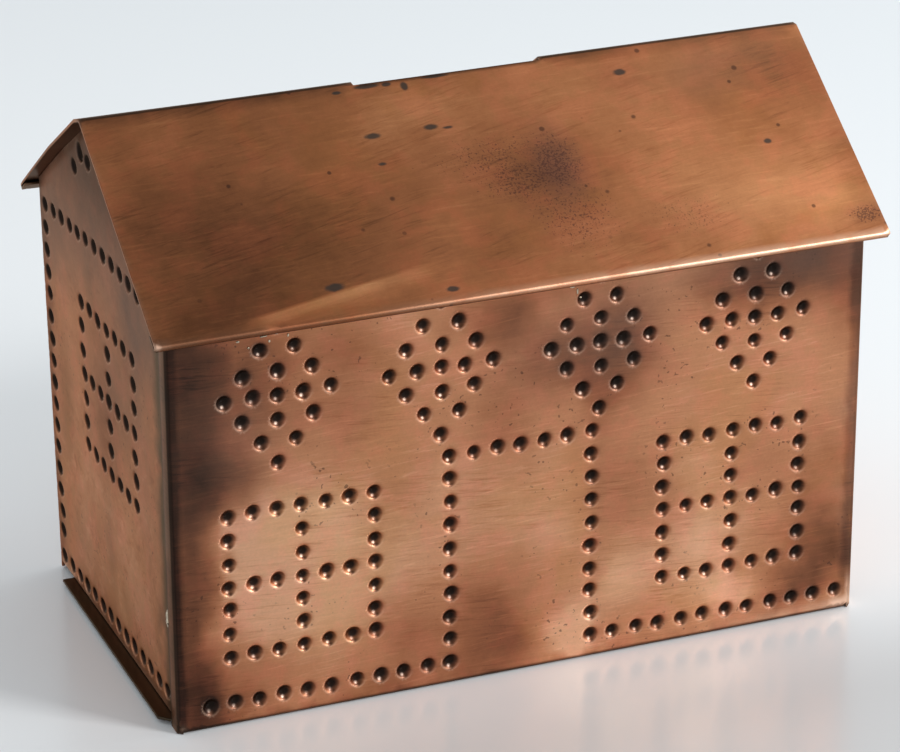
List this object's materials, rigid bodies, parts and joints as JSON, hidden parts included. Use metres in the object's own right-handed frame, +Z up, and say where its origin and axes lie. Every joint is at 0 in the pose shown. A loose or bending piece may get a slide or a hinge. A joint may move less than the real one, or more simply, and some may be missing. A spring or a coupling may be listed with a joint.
{
  "type": "house-shaped tin money box",
  "caption": "Sheet-metal money box in the shape of a small house, with punched windows and door, a coin slot in the roof ridge and a bottom plate that slides out.",
  "frame": {"origin": "on the standing plane, under the middle of the roof", "axes": "+Z up, +X to the right along the front wall, so the front faces -Y and the bottom slides out towards -X"},
  "size_m": [0.146, 0.0856, 0.1094],
  "materials": {
    "wall_sheet": "brushed copper sheet, brown and grey patina",
    "gable_sheet": "dull copper sheet, grey-brown patina",
    "roof_sheet": "brushed copper sheet, worn bright along the eaves",
    "bottom_sheet": "dark brown oxidised copper sheet",
    "solder": "dull grey tin solder"
  },
  "bodies": {
    "shell": {"front_wall": "wall_sheet", "back_wall": "wall_sheet", "left_gable": "gable_sheet", "right_gable": "gable_sheet", "roof": "roof_sheet", "solder_front_left": "solder", "solder_front_right": "solder", "solder_back_left": "solder", "solder_back_right": "solder", "solder_front_eave": "solder", "solder_back_eave": "solder", "solder_left_gable": "solder", "solder_right_gable": "solder"},
    "bottom": {"bottom_plate": "bottom_sheet"}
  },
  "joints": [
    {"name": "bottom_slide", "type": "slide", "parent": "shell", "child": "bottom", "axis": [-1, 0, 0], "range_m": [0, 0.145]}
  ]
}
